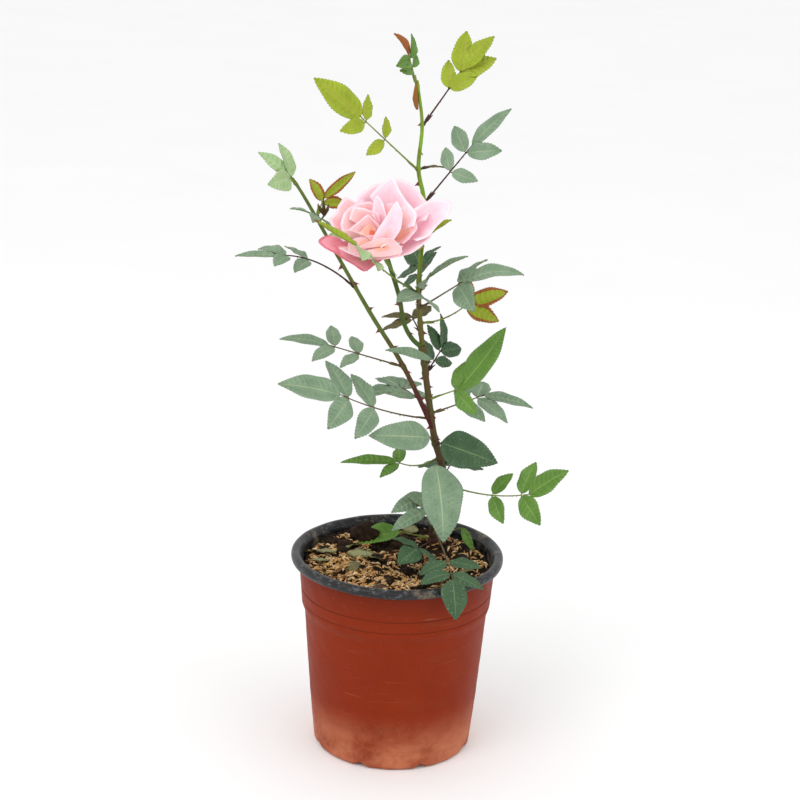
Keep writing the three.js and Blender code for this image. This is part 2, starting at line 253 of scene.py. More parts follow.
class Finish:
    """A procedural material built up from noise in object space."""

    def __init__(self, name, roughness=0.6, specular=0.5):
        self.material = bpy.data.materials.new(name)
        self.material.use_nodes = True
        self.tree = self.material.node_tree
        self.shader = self.tree.nodes["Principled BSDF"]
        self.shader.inputs["Specular IOR Level"].default_value = specular
        self.shader.inputs["Roughness"].default_value = roughness
        self.place = self.tree.nodes.new("ShaderNodeTexCoord").outputs["Object"]

    def node(self, kind, sockets, **settings):
        """A new node with its settings, and a value or a link for each socket named."""
        node = self.tree.nodes.new("ShaderNode" + kind)
        for name, value in settings.items():
            setattr(node, name, value)
        for socket, value in sockets.items():
            if isinstance(value, bpy.types.NodeSocket):
                self.tree.links.new(value, node.inputs[socket])
            else:
                node.inputs[socket].default_value = value
        return node

    def noise(self, scale, detail=3, stretch=None, roughness=0.6):
        place = self.place
        if stretch:
            place = self.node("Mapping", {"Vector": place, "Scale": stretch}).outputs["Vector"]
        sockets = {"Vector": place, "Scale": scale, "Detail": detail, "Roughness": roughness}
        return self.node("TexNoise", sockets).outputs["Fac"]

    def cells(self, scale):
        return self.node("TexVoronoi", {"Vector": self.place, "Scale": scale}).outputs["Distance"]

    def height(self, low, high):
        """Zero at height low and one at height high, both in millimetres."""
        split = self.node("SeparateXYZ", {0: self.place})
        return self.between(split.outputs["Z"], low * MM, high * MM)

    def between(self, value, low, high):
        sockets = {"Value": value, "From Min": low, "From Max": high}
        return self.node("MapRange", sockets, interpolation_type="SMOOTHSTEP").outputs["Result"]

    def spots(self, low, high, scale, detail=3, **noise):
        """Patches of noise that start where it passes low and are full where it passes high."""
        return self.between(self.noise(scale, detail, **noise), low, high)

    def times(self, a, b):
        return self.node("Math", {0: a, 1: b}, operation="MULTIPLY").outputs[0]

    def blend(self, share, first, second):
        return self.node("Mix", {"Factor": share, 6: first, 7: second}, data_type="RGBA").outputs[2]

    def layer(self, base, share, strength, colour):
        """The base with an sRGB colour laid over it where share is high."""
        return self.blend(self.times(share, strength), base, tone(*colour))

    def to_shader(self, value, socket):
        self.tree.links.new(value, self.shader.inputs[socket])

    def colour(self, value):
        self.to_shader(value, "Base Color")

    def rough(self, share, low, high):
        sockets = {"Value": share, "To Min": low, "To Max": high}
        self.to_shader(self.node("MapRange", sockets).outputs["Result"], "Roughness")

    def bump(self, height, distance, strength=1.0):
        sockets = {"Distance": distance * MM, "Strength": strength, "Height": height}
        self.to_shader(self.node("Bump", sockets).outputs["Normal"], "Normal")


LEAF_DUST = (196, 206, 186)


def leaf_finish(name, light, deep, dust=0.0, sheen=0.25, roughness=0.5):
    """A leaf side: two greens in soft patches, fine cells, and pale dust where it has gathered."""
    finish = Finish(name, roughness, sheen)
    patches = finish.times(finish.spots(0.25, 0.75, 60, 4), 0.45)
    base = finish.blend(patches, tone(*light), tone(*deep))
    base = finish.layer(base, finish.spots(0.3, 0.75, 900, 2), 0.22, deep)
    if dust:
        base = finish.layer(base, finish.spots(0.6, 0.72, 620, roughness=0.7), dust, LEAF_DUST)
    finish.colour(base)
    finish.rough(patches, roughness - 0.06, roughness + 0.1)
    finish.bump(finish.cells(700), 0.12, 0.5)
    return finish.material


def bark_finish(name, low_tone, high_tone, low, high, patch_tone):
    """Cane skin: one tone at height low and another at high, with long streaks and patches."""
    finish = Finish(name, 0.55, 0.2)
    streaks = finish.noise(260, 4, stretch=(1, 1, 0.12))
    base = finish.blend(finish.height(low, high), tone(*low_tone), tone(*high_tone))
    base = finish.layer(base, finish.spots(0.48, 0.66, 75, 4, stretch=(1, 1, 0.35)), 0.75, patch_tone)
    base = finish.layer(base, finish.between(streaks, 0.52, 0.74), 0.5, (45, 36, 26))
    finish.colour(base)
    finish.rough(streaks, 0.45, 0.75)
    finish.bump(streaks, 0.35, 0.7)
    return finish.material


def terracotta_finish():
    """Thin red-brown plastic: dusty towards the foot, with painted shade under the rim, long scratches and
    pale specks.
    """
    finish = Finish("pot_plastic", 0.5, 0.12)
    base = finish.blend(finish.noise(22, 5), tone(119, 33, 3), tone(139, 44, 8))
    haze = finish.times(finish.height(62, 2), finish.spots(0.2, 0.7, 24, 5, roughness=0.7))
    base = finish.blend(haze, base, tone(194, 118, 84))
    # Painted shade under the rim: the wall darkens towards the bead from 150 mm up.
    base = finish.layer(base, finish.height(150, 178), 0.35, (84, 24, 8))
    smears = finish.spots(0.52, 0.72, 40, 5, stretch=(0.4, 0.4, 1.2), roughness=0.75)
    base = finish.layer(base, smears, 0.3, (118, 62, 36))
    scratches = finish.spots(0.66, 0.74, 320, 2, stretch=(0.06, 0.06, 1.6), roughness=0.8)
    base = finish.layer(base, scratches, 0.16, (205, 130, 100))
    drips = finish.spots(0.64, 0.8, 190, stretch=(1, 1, 0.07))
    base = finish.layer(base, drips, 0.3, (110, 32, 14))
    base = finish.layer(base, finish.spots(0.71, 0.77, 900, 2, roughness=0.7), 0.6, (222, 170, 145))
    finish.colour(base)
    finish.rough(finish.noise(60, 4), 0.42, 0.65)
    finish.bump(finish.noise(420), 0.12, 0.35)
    return finish.material


def groove_shade_finish():
    """The lines pressed round the pot under its rim, painted dark as shade in their hollows."""
    finish = Finish("pot_groove_painted_shade", 0.7, 0.1)
    finish.colour(finish.blend(finish.noise(60), tone(78, 26, 12), tone(122, 42, 18)))
    finish.bump(finish.noise(420), 0.1, 0.4)
    return finish.material


def rim_finish():
    """Black plastic, scuffed grey on the roll and powdered with dry soil."""
    finish = Finish("rim_plastic", 0.5, 0.35)
    base = finish.blend(finish.noise(40, 4), tone(12, 12, 14), tone(28, 29, 32))
    scuffs = finish.spots(0.5, 0.66, 130, 5, stretch=(1, 1, 2.2), roughness=0.8)
    base = finish.layer(base, scuffs, 0.55, (116, 118, 120))
    base = finish.layer(base, finish.spots(0.52, 0.68, 30, 5, roughness=0.75), 0.55, (150, 134, 108))
    finish.colour(base)
    finish.rough(scuffs, 0.36, 0.7)
    finish.bump(finish.noise(500, 4), 0.15, 0.4)
    return finish.material


def soil_finish():
    finish = Finish("soil_crumb", 0.95, 0.15)
    crumbs = finish.noise(260, 5, roughness=0.75)
    base = finish.blend(finish.between(crumbs, 0.35, 0.7), tone(20, 14, 10), tone(58, 42, 28))
    base = finish.layer(base, finish.spots(0.55, 0.75, 60, 4), 0.5, (104, 80, 58))
    finish.colour(base)
    finish.bump(crumbs, 1.2, 1.0)
    return finish.material


def husk_finish(name, light, deep):
    finish = Finish(name, 0.6, 0.35)
    finish.colour(finish.blend(finish.spots(0.35, 0.7, 420), tone(*light), tone(*deep)))
    finish.bump(finish.noise(1500, 2), 0.1, 0.5)
    return finish.material


def petal_finish(name, light, deep):
    """A petal: soft colour with fine streaks."""
    finish = Finish(name, 0.6, 0.2)
    base = finish.blend(finish.spots(0.3, 0.72, 55, 4), tone(*light), tone(*deep))
    base = finish.layer(base, finish.spots(0.45, 0.75, 520), 0.15, (255, 228, 228))
    finish.colour(base)
    finish.shader.inputs["Subsurface Weight"].default_value = 0.25
    finish.shader.inputs["Subsurface Radius"].default_value = (0.004, 0.0015, 0.0012)
    finish.bump(finish.noise(700), 0.1, 0.35)
    return finish.material


# ---------------- the pot

# The pot's wall from the foot up to its shoulder: height, and radius as a share of the foot's.
WALL_OUTLINE = [(2, 1), (50, 1.063), (95, 1.11), (134, 1.15), (142, 1.187)]
HIP_RADIUS, SHOULDER_RADIUS = (FOOT_RADIUS * share for _, share in WALL_OUTLINE[-2:])
LINING_FOOT = 150
POT_COLUMNS = 240
# Lines pressed round the wall: height, width and depth. The first two are painted dark as shade in their
# hollows.
GROOVES = [(158, 0.8, 0.7), (146, 0.8, 0.6), (168, 0.6, 0.2), (97, 0.9, 0.15)]
DARK_GROOVES = 2


def ring_grooves(radius, z):
    """The wall's radius with the fine lines that run round it."""
    for height, width, depth in GROOVES:
        radius = radius - depth * np.exp(-((z - height) / width) ** 2)
    return radius


def pot_shape(points, angles):
    """Lifts the foot edge over each drain notch and lets the thin wall wander a little."""
    z = points[..., 2]
    spacing = 2 * math.pi / DRAIN_NOTCHES
    off = np.abs((angles % spacing) - spacing / 2) * FOOT_RADIUS
    notch = np.clip(1.25 - off / 5.5, 0, 1) * 3.2
    points[..., 2] = np.where(z < 8, z + notch[None] * (1 - z / 8), z)
    wander = 0.25 * np.sin(3 * angles + 1) + 0.18 * np.sin(7 * angles)
    lumps = 0.12 * np.sin(23 * angles[None] + z * 0.21) * np.cos(z * 0.11)
    radius = np.hypot(points[..., 0], points[..., 1])
    scale = np.where(radius > 40, 1 + (wander[None] * (z / POT_HEIGHT) + lumps) / np.maximum(radius, 1), 1)
    points[..., :2] *= scale[..., None]
    return points


def make_pot():
    outer = [(FOOT_RADIUS - 1.5, 0)] + [(FOOT_RADIUS * share, z) for z, share in WALL_OUTLINE]
    outer = fine(outer + [(WALL_TOP_RADIUS, WALL_TOP)], 0.9)
    outer[:, 0] = ring_grooves(outer[:, 0], outer[:, 1])
    inner = fine([(WALL_TOP_RADIUS - WALL, WALL_TOP), (SHOULDER_RADIUS - WALL, 143), (HIP_RADIUS - WALL, 134),
                  (FOOT_RADIUS - WALL, 4), (20, 3), (0.5, 3)], 12)
    under = fine([(0.5, 1.2), (FOOT_RADIUS - 8, 1.2), (FOOT_RADIUS - 6, 0)], 12)
    heap = Heap()
    profile = np.vstack([outer, inner, under])
    middles = (profile[:, 1] + np.roll(profile[:, 1], -1)) / 2
    # The faces of the first two grooves take the groove finish, painted dark as shade.
    on_line = np.min([np.abs(middles - height) for height, _, _ in GROOVES[:DARK_GROOVES]], axis=0) < 0.5
    on_line &= np.arange(len(profile)) < len(outer)
    kinds = np.repeat(on_line.astype(int), POT_COLUMNS)
    add_turned(heap, profile, kinds, POT_COLUMNS, pot_shape)
    pot = heap.build("pot_wall", [terracotta_finish(), groove_shade_finish()])
    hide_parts("pot_shell")
    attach(pot, "root")


def make_rim():
    """The rolled bead, and the lining that reaches down behind the soil."""
    top = POT_HEIGHT
    under = WALL_TOP + 0.3
    wall = WALL_TOP_RADIUS - WALL - 0.3
    outer = RIM_RADIUS
    curve = smooth_curve([(outer - 4.5, under, 0), (outer - 1, under + 0.8, 0), (outer, under + 3.6, 0),
                          (outer - 0.6, top - 2.2, 0), (outer - 3, top - 0.2, 0), (outer - 5.6, top - 0.1, 0),
                          (outer - 8, top - 1.6, 0), (wall - 1.2, top - 6, 0)], 7)[:, :2]
    lining = fine([(wall - 1.2, top - 6), (SHOULDER_RADIUS - WALL - 1.6, LINING_FOOT),
                   (SHOULDER_RADIUS - WALL - 0.4, LINING_FOOT), (wall, under), (outer - 4.5, under)], 2.5)

    def worn(points, angles):
        wobble = 0.35 * np.sin(2 * angles + 0.6) + 0.2 * np.sin(5 * angles) + 0.12 * np.sin(17 * angles)
        points[..., 2] += wobble * np.clip((points[..., 2] - 170) / 15, 0, 1)
        return points

    heap = Heap()
    add_turned(heap, np.vstack([curve, lining[1:-1]]), 0, POT_COLUMNS, worn)
    rim = heap.build("rolled_rim", [rim_finish()])
    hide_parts("pot_rim")
    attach(rim, "root")


# ---------------- soil, husks, clods

SOIL_FOOT = 152
SOIL_COLUMNS = 300
SMALL_CLODS = 170
HUSKS = 1700
HUSK_LENGTHS = (5.5, 8.5)


def soil_height(x, y):
    """The soil's uneven top, with a clod at the back left and a low mound at the stem's foot."""
    lumps = 1.6 * np.sin(x * 0.17 + 1) * np.cos(y * 0.21) + 1.1 * np.sin(x * 0.31 - y * 0.27)
    clod = 7 * np.exp(-((x + 30) ** 2 + (y - 52) ** 2) / 220)
    mound = 3 * np.exp(-((x - 35) ** 2 + (y - 40) ** 2) / 700)
    return SOIL_TOP + 0.05 * y + lumps + clod + mound


def make_soil():
    rings = 90
    share = np.linspace(1, 0.01, rings)
    top = np.stack([SOIL_RADIUS * share, np.full(rings, SOIL_TOP)], -1)
    skirt = [(2, SOIL_FOOT), (SOIL_RADIUS - 3, SOIL_FOOT)]

    def crumbled(points, angles):
        for point in points[len(skirt):].reshape(-1, 3):
            x, y, _ = point
            crumb = noise.fractal(Vector((x * 0.16, y * 0.16, 3.1)), 0.8, 2.1, 4)
            point[2] = soil_height(x, y) + 1.5 * crumb
        return points

    heap = Heap()
    add_turned(heap, np.vstack([skirt, top]), 0, SOIL_COLUMNS, crumbled)
    for x, y, size in CLODS:
        add_clod(heap, x, y, size)
    for _ in range(SMALL_CLODS):
        x, y = spot_in_pot()
        add_clod(heap, x, y, random.uniform(1.2, 3.6))
    soil = heap.build("soil_bed", [soil_finish()])
    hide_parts("soil")
    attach(soil, "root")


def spot_in_pot():
    radius = SOIL_RADIUS * 0.97 * math.sqrt(random.uniform(0, 1))
    angle = random.uniform(0, 2 * math.pi)
    return radius * math.cos(angle), radius * math.sin(angle)


# Large clods: place and half width.
CLODS = [(-32, 50, 15), (-15, 56, 11), (-50, 34, 10), (-52, 22, 8), (-20, 8, 9), (10, -22, 8), (-8, -40, 7),
         (30, -48, 9), (50, -30, 8), (0, 40, 9), (62, 12, 7), (-62, 40, 8), (20, 5, 8), (-36, -12, 7)]


def add_clod(heap, x, y, size):
    rows, columns = 9, 14
    if size < 5:
        rows, columns = 5, 8
    tilt = np.linspace(0.04, math.pi - 0.04, rows)[::-1, None]
    angle = np.arange(columns) * 2 * math.pi / columns
    ball = np.stack([np.sin(tilt) * np.cos(angle), np.sin(tilt) * np.sin(angle),
                     np.cos(tilt) * np.ones(columns)], -1)
    shift = Vector(random.uniform(-50, 50, 3))
    for point in ball.reshape(-1, 3):
        lump = noise.noise(Vector(point) * 1.5 + shift)
        point *= 1 + 0.42 * lump + 0.16 * noise.noise(Vector(point) * 5)
    ball = ball * np.array([size, size * random.uniform(0.7, 1), size * 0.62])
    ball[..., :2] = ball[..., :2] @ spun(random.uniform(0, 6.3))
    ball += np.array([x, y, float(soil_height(x, y)) + size * 0.12])
    heap.add(ball, body_quads(rows, columns), 0)


def spun(angle):
    return np.array([[math.cos(angle), math.sin(angle)], [-math.sin(angle), math.cos(angle)]])


def make_husks():
    """Rice husks: small pointed boats, thickest at the front and left and thin on the back clods."""
    heap = Heap()
    made = 0
    while made < HUSKS:
        x, y = spot_in_pot()
        drift = 0.5 + 0.7 * noise.noise(Vector((x * 0.05, y * 0.05, 7)))
        on_clod = math.hypot(x + 30, y - 45) < 26
        chance = -0.15 + 1.5 * drift - 0.006 * y + 0.4 * (x < -25) - 0.6 * on_clod
        if random.uniform(0, 1.1) > chance:
            continue
        length = random.uniform(*HUSK_LENGTHS)
        heading = toward(random.uniform(0, 12), random.uniform(-22, 28))
        middle = np.array([x, y, float(soil_height(x, y)) + random.uniform(0.3, 1.9)])
        t = np.linspace(-0.5, 0.5, 5)[:, None]
        bend = np.array([0, 0, random.uniform(-1.2, 1.6)])
        path = middle + heading * t * length + bend * (1 - 4 * t ** 2)
        radii = np.array([0.12, 0.85, 1.12, 0.85, 0.12]) * random.uniform(0.8, 1.15)
        add_tube(heap, path, radii, random.choice(3, p=(0.5, 0.3, 0.2)), sides=6, flat=0.5)
        made += 1
    husks = heap.build("rice_husks", [husk_finish("husk_gold", (214, 170, 108), (172, 124, 70)),
                                      husk_finish("husk_straw", (232, 205, 158), (198, 158, 108)),
                                      husk_finish("husk_brown", (150, 104, 60), (104, 68, 40))])
    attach(husks, "root")


# ---------------- canes

# The same routes as in the CAD, from foot to tip, with the radius at each end.
LIMBS = {
    "main_stem": dict(through=[(35, 40, 168), (35, 40, 200), (40, 35, 265), (32, 35, 295), (25, 35, 335),
                               (17, 30, 388)], radius=(4, 2.8), flare=2.2),
    "upper_cane": dict(through=[(17, 30, 388), (12, 30, 440), (14, 30, 525), (8, 30, 555), (10, 35, 595),
                                (4, 35, 635)], radius=(2.5, 1.4)),
    "bloom_stalk": dict(through=[(17, 30, 386), (8, 25, 395), (0, 20, 410), (-6, 10, 440), (-20, 0, 485)],
                        radius=(2.2, 2)),
    "left_cane": dict(through=[(31, 35, 303), (0, 20, 370), (-30, 10, 420), (-55, 0, 465), (-95, -5, 535),
                               (-105, -5, 550)], radius=(2.4, 1.3)),
}
LINES = {name: smooth_curve(limb["through"]) for name, limb in LIMBS.items()}


# Where the main stem swells and divides.
FORK_HEIGHT = 384


def limb_radius(limb, share):
    foot, tip = limb["radius"]
    return foot + (tip - foot) * share + limb.get("flare", 0) * np.exp(-share * 14)


def limb_at(name, height):
    """The point of a cane at a height, its radius there and its direction."""
    line = LINES[name]
    share = np.linspace(0, 1, len(line))
    point = np.array([np.interp(height, line[:, 2], line[:, k]) for k in range(3)])
    at = float(np.interp(height, line[:, 2], share))
    index = min(int(at * (len(line) - 1)), len(line) - 2)
    return point, float(limb_radius(LIMBS[name], at)), unit(line[index + 1] - line[index])


def make_limb(name, finish):
    limb = LIMBS[name]
    line = smooth_curve(limb["through"], 40)
    share = np.linspace(0, 1, len(line))
    sides = 20
    angles = np.arange(sides) * 2 * math.pi / sides
    shift = 5 * len(name)
    swell = np.ones((len(line), sides))
    # Slow and fine unevenness of the skin.
    for i, point in enumerate(line):
        for j, angle in enumerate(angles):
            spot = Vector((math.cos(angle) * 1.6, math.sin(angle) * 1.6 + shift, point[2] * 0.05))
            swell[i, j] = 1 + 0.07 * noise.noise(spot) + 0.03 * noise.noise(spot * 4)
    # A joint is a low swelling, wherever a leaf starts.
    joints = sorted({leaf["up"] for leaf in LEAVES.values() if leaf["cane"] == name})
    if joints:
        off = np.abs(line[:, 2, None] - np.array(joints)).min(1)
        swell += 0.25 * np.exp(-(off / 2.2) ** 2)[:, None]
    if name == "main_stem":
        swell += 0.45 * np.exp(-((line[:, 2] - FORK_HEIGHT) / 8) ** 2)[:, None]
    heap = Heap()
    add_tube(heap, line, limb_radius(limb, share), 0, sides=sides, swell=swell)
    piece = heap.build(name + "_bark", [finish])
    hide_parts(name)
    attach(piece, "root")


# Thorns grow by a seeded rule: the heights between which each cane is thorned, and the usual gap.
THORNED = {"main_stem": (200, 370, 15), "left_cane": (335, 470, 15), "upper_cane": (395, 600, 24),
           "bloom_stalk": (395, 450, 28)}
THORN_LENGTHS = (4.5, 6.2)


def add_thorn(heap, cane, height, hour, length):
    """A hooked thorn: broad along the cane at its foot, pointed and bent down at its tip."""
    point, radius, along = limb_at(cane, height)
    out = toward(hour, 0)
    out = unit(out - along * np.dot(out, along))
    side = np.cross(along, out)
    t = np.linspace(0, 1, 7)
    sides = 10
    angle = np.arange(sides) * 2 * math.pi / sides
    rings = []
    for share in t:
        middle = point + out * (radius * 0.6 + length * share) - along * length * 0.3 * share ** 2
        tall = length * 0.46 * (1 - share) ** 1.7 + 0.12
        wide = length * 0.2 * (1 - share) ** 1.2 + 0.1
        rings.append(middle + np.outer(np.cos(angle) * tall, along) + np.outer(np.sin(angle) * wide, -side))
    heap.add(np.array(rings), body_quads(len(t), sides), 0)


def make_thorns():
    """Thorns up each cane, to the left and right in turn, at uneven gaps."""
    heap = Heap()
    for cane, (low, high, gap) in THORNED.items():
        height = low + gap * random.uniform(0, 0.6)
        hour = 3
        while height < high:
            add_thorn(heap, cane, height, hour + random.uniform(-2, 2), random.uniform(*THORN_LENGTHS))
            height += gap * random.uniform(0.6, 1.4)
            hour = 12 - hour
    finish = Finish("thorn_red", 0.4, 0.5)
    finish.colour(finish.blend(finish.noise(260, 3), tone(122, 38, 36), tone(84, 30, 28)))
    finish.bump(finish.noise(900, 2), 0.1, 0.4)
    thorns = heap.build("thorns", [finish.material])
    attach(thorns, "root")


# ---------------- leaves

# Leaf tints: two tones of the upper side, two of the under side, the midrib's, and how dusty the leaf is.
# Each row's two under-side tones are partly painted light: they stand for daylight shining through the leaf
# as well as its own colour.
TINTS = {
    # old: grey-green whose bluish cast is partly painted sky reflection.
    "old": ((140, 163, 134), (84, 116, 88), (112, 138, 86), (84, 112, 62), (168, 184, 142), 0.4),
    "dark": ((70, 100, 68), (42, 68, 44), (80, 104, 62), (56, 80, 46), (106, 130, 88), 0.5),
    "fresh": ((106, 146, 62), (66, 106, 36), (108, 150, 54), (76, 122, 34), (136, 170, 82), 0.1),
    "pale": ((176, 202, 150), (134, 168, 108), (164, 192, 130), (124, 158, 88), (196, 214, 166), 0.2),
    "young": ((160, 176, 46), (122, 140, 26), (152, 166, 52), (122, 128, 34), (160, 150, 56), 0.0),
    "copper": ((164, 96, 38), (118, 64, 24), (150, 96, 46), (108, 66, 30), (170, 104, 56), 0.0),
    "olive": ((104, 98, 54), (64, 58, 34), (100, 86, 52), (66, 54, 34), (124, 100, 64), 0.15),
    "brown": ((82, 52, 34), (44, 28, 20), (84, 58, 40), (52, 36, 26), (94, 64, 44), 0.1),
    "wilted": ((146, 146, 100), (92, 94, 58), (132, 134, 94), (92, 92, 60), (158, 154, 112), 0.4),
}
TINT_NAMES = list(TINTS)
GLOSSY_TINTS = ("young", "copper", "fresh")


def tint_materials():
    materials = []
    for name, (light, deep, under_light, under_deep, rib, dust) in TINTS.items():
        gloss = 0.4 if name in GLOSSY_TINTS else 0.52
        materials.append(leaf_finish(name + "_top", light, deep, dust, roughness=gloss))
        # Under sides: tones partly painted light shining through the leaf.
        materials.append(leaf_finish(name + "_under", under_light, under_deep, sheen=0.15,
                                     roughness=gloss + 0.15))
        materials.append(leaf_finish(name + "_rib", rib, tuple(int(c * 0.88) for c in rib)))
    return materials


def tint_index(name):
    """The slot of a tint's upper side. Its under side and midrib come next."""
    return 3 * TINT_NAMES.index(name)


TOOTH_GAP = 2.7
TOOTH_ROWS = 3
VEIN_GAP = 5.2
LEAF_THICKNESS = 0.4
RIM_TINT = "olive"
# Columns of a leaflet, from its left edge to its right. Teeth stand out beyond the last column but one.
ACROSS = np.array([-1, -0.88, -0.66, -0.46, -0.26, -0.035, 0.035, 0.26, 0.46, 0.66, 0.88, 1])


def add_leaflet(heap, foot, forward, normal, length, width, tint, fold, bend, wave, twist=0, edge=None,
                tip=None):
    """One toothed leaflet: a thin closed sheet, quilted between its side veins.

    fold lifts both halves from the midrib, bend curls it down along its length, wave ripples its edges,
    twist turns its tip, and edge and tip name the tint of a scorched border or end."""
    teeth = max(7, int(length / TOOTH_GAP))
    rows = teeth * TOOTH_ROWS + 1
    t = np.linspace(0, 1, rows)
    step = t[1] - t[0]
    outline = t ** 0.6 * (1 - t) ** 0.95 / 0.355
    half = np.maximum(outline * width / 2, 0.22)
    # The midrib bends down and each cross line twists.
    angle = np.radians(bend) * (t ** 1.3 - 0.25)
    normal = unit(normal - forward * np.dot(normal, forward))
    side = np.cross(forward, normal)
    ahead = np.outer(np.cos(angle), forward) - np.outer(np.sin(angle), normal)
    lift = np.outer(np.cos(angle), normal) + np.outer(np.sin(angle), forward)
    spine = foot + np.cumsum(np.vstack([np.zeros(3), ahead[:-1] * step * length]), axis=0)
    spin = np.radians(twist) * t[:, None]
    cross = side * np.cos(spin) + lift * np.sin(spin)
    lift = lift * np.cos(spin) - side * np.sin(spin)
    # Teeth: the outermost column steps out and forward to each point, then drops back.
    phase = (np.arange(rows) % TOOTH_ROWS) / TOOTH_ROWS
    tooth = np.where(phase == 0, 0, np.where(phase < 0.5, 0.55, 1.0)) * (t > 0.08) * (t < 0.985)
    u = np.broadcast_to(ACROSS, (rows, len(ACROSS)))
    outer = np.clip((np.abs(u) - ACROSS[-2]) / (1 - ACROSS[-2]), 0, 1)
    ragged = 0.04 * np.abs(u) * np.sin(12 * t[:, None] + 2 * np.sign(u) + length)
    out = u * half[:, None] * (1 + ragged + outer * tooth[:, None] * min(0.09, 1.6 / width))
    forth = outer * tooth[:, None] * step * length * 0.9
    size = np.abs(u) * half[:, None]
    vein = 2 * math.pi * (t[:, None] * length - size * 0.8) / VEIN_GAP
    quilt = 0.95 * np.cos(vein) * np.sin(math.pi * np.clip(np.abs(u), 0, 1)) * min(1, length / 45)
    ripple = wave * half[:, None] * np.sin(2 * math.pi * (t[:, None] * 2.3 + 0.35 * np.sign(u)) + length)
    rise = size * fold + quilt + ripple * u ** 2
    rise = rise - 0.35 * (np.abs(u) < 0.1)
    top = (spine[:, None] + cross[:, None] * out[..., None] + lift[:, None] * rise[..., None]
           + ahead[:, None] * forth[..., None])
    under = top - lift[:, None] * LEAF_THICKNESS
    base = tint_index(tint)
    centre_row = (t[:-1] + t[1:]) / 2
    centre_col = (ACROSS[:-1] + ACROSS[1:]) / 2
    kinds = np.full((rows - 1, len(ACROSS) - 1), base)
    if edge:
        kinds[:, np.abs(centre_col) > 0.75] = tint_index(edge)
    if tip:
        kinds[centre_row > 0.9] = tint_index(tip)
    kinds[:, np.abs(centre_col) < 0.03] = base + 2
    under_kinds = np.where(kinds % 3 == 2, base + 2, kinds + 1)
    add_shell(heap, top, under, kinds, under_kinds, tint_index(RIM_TINT))
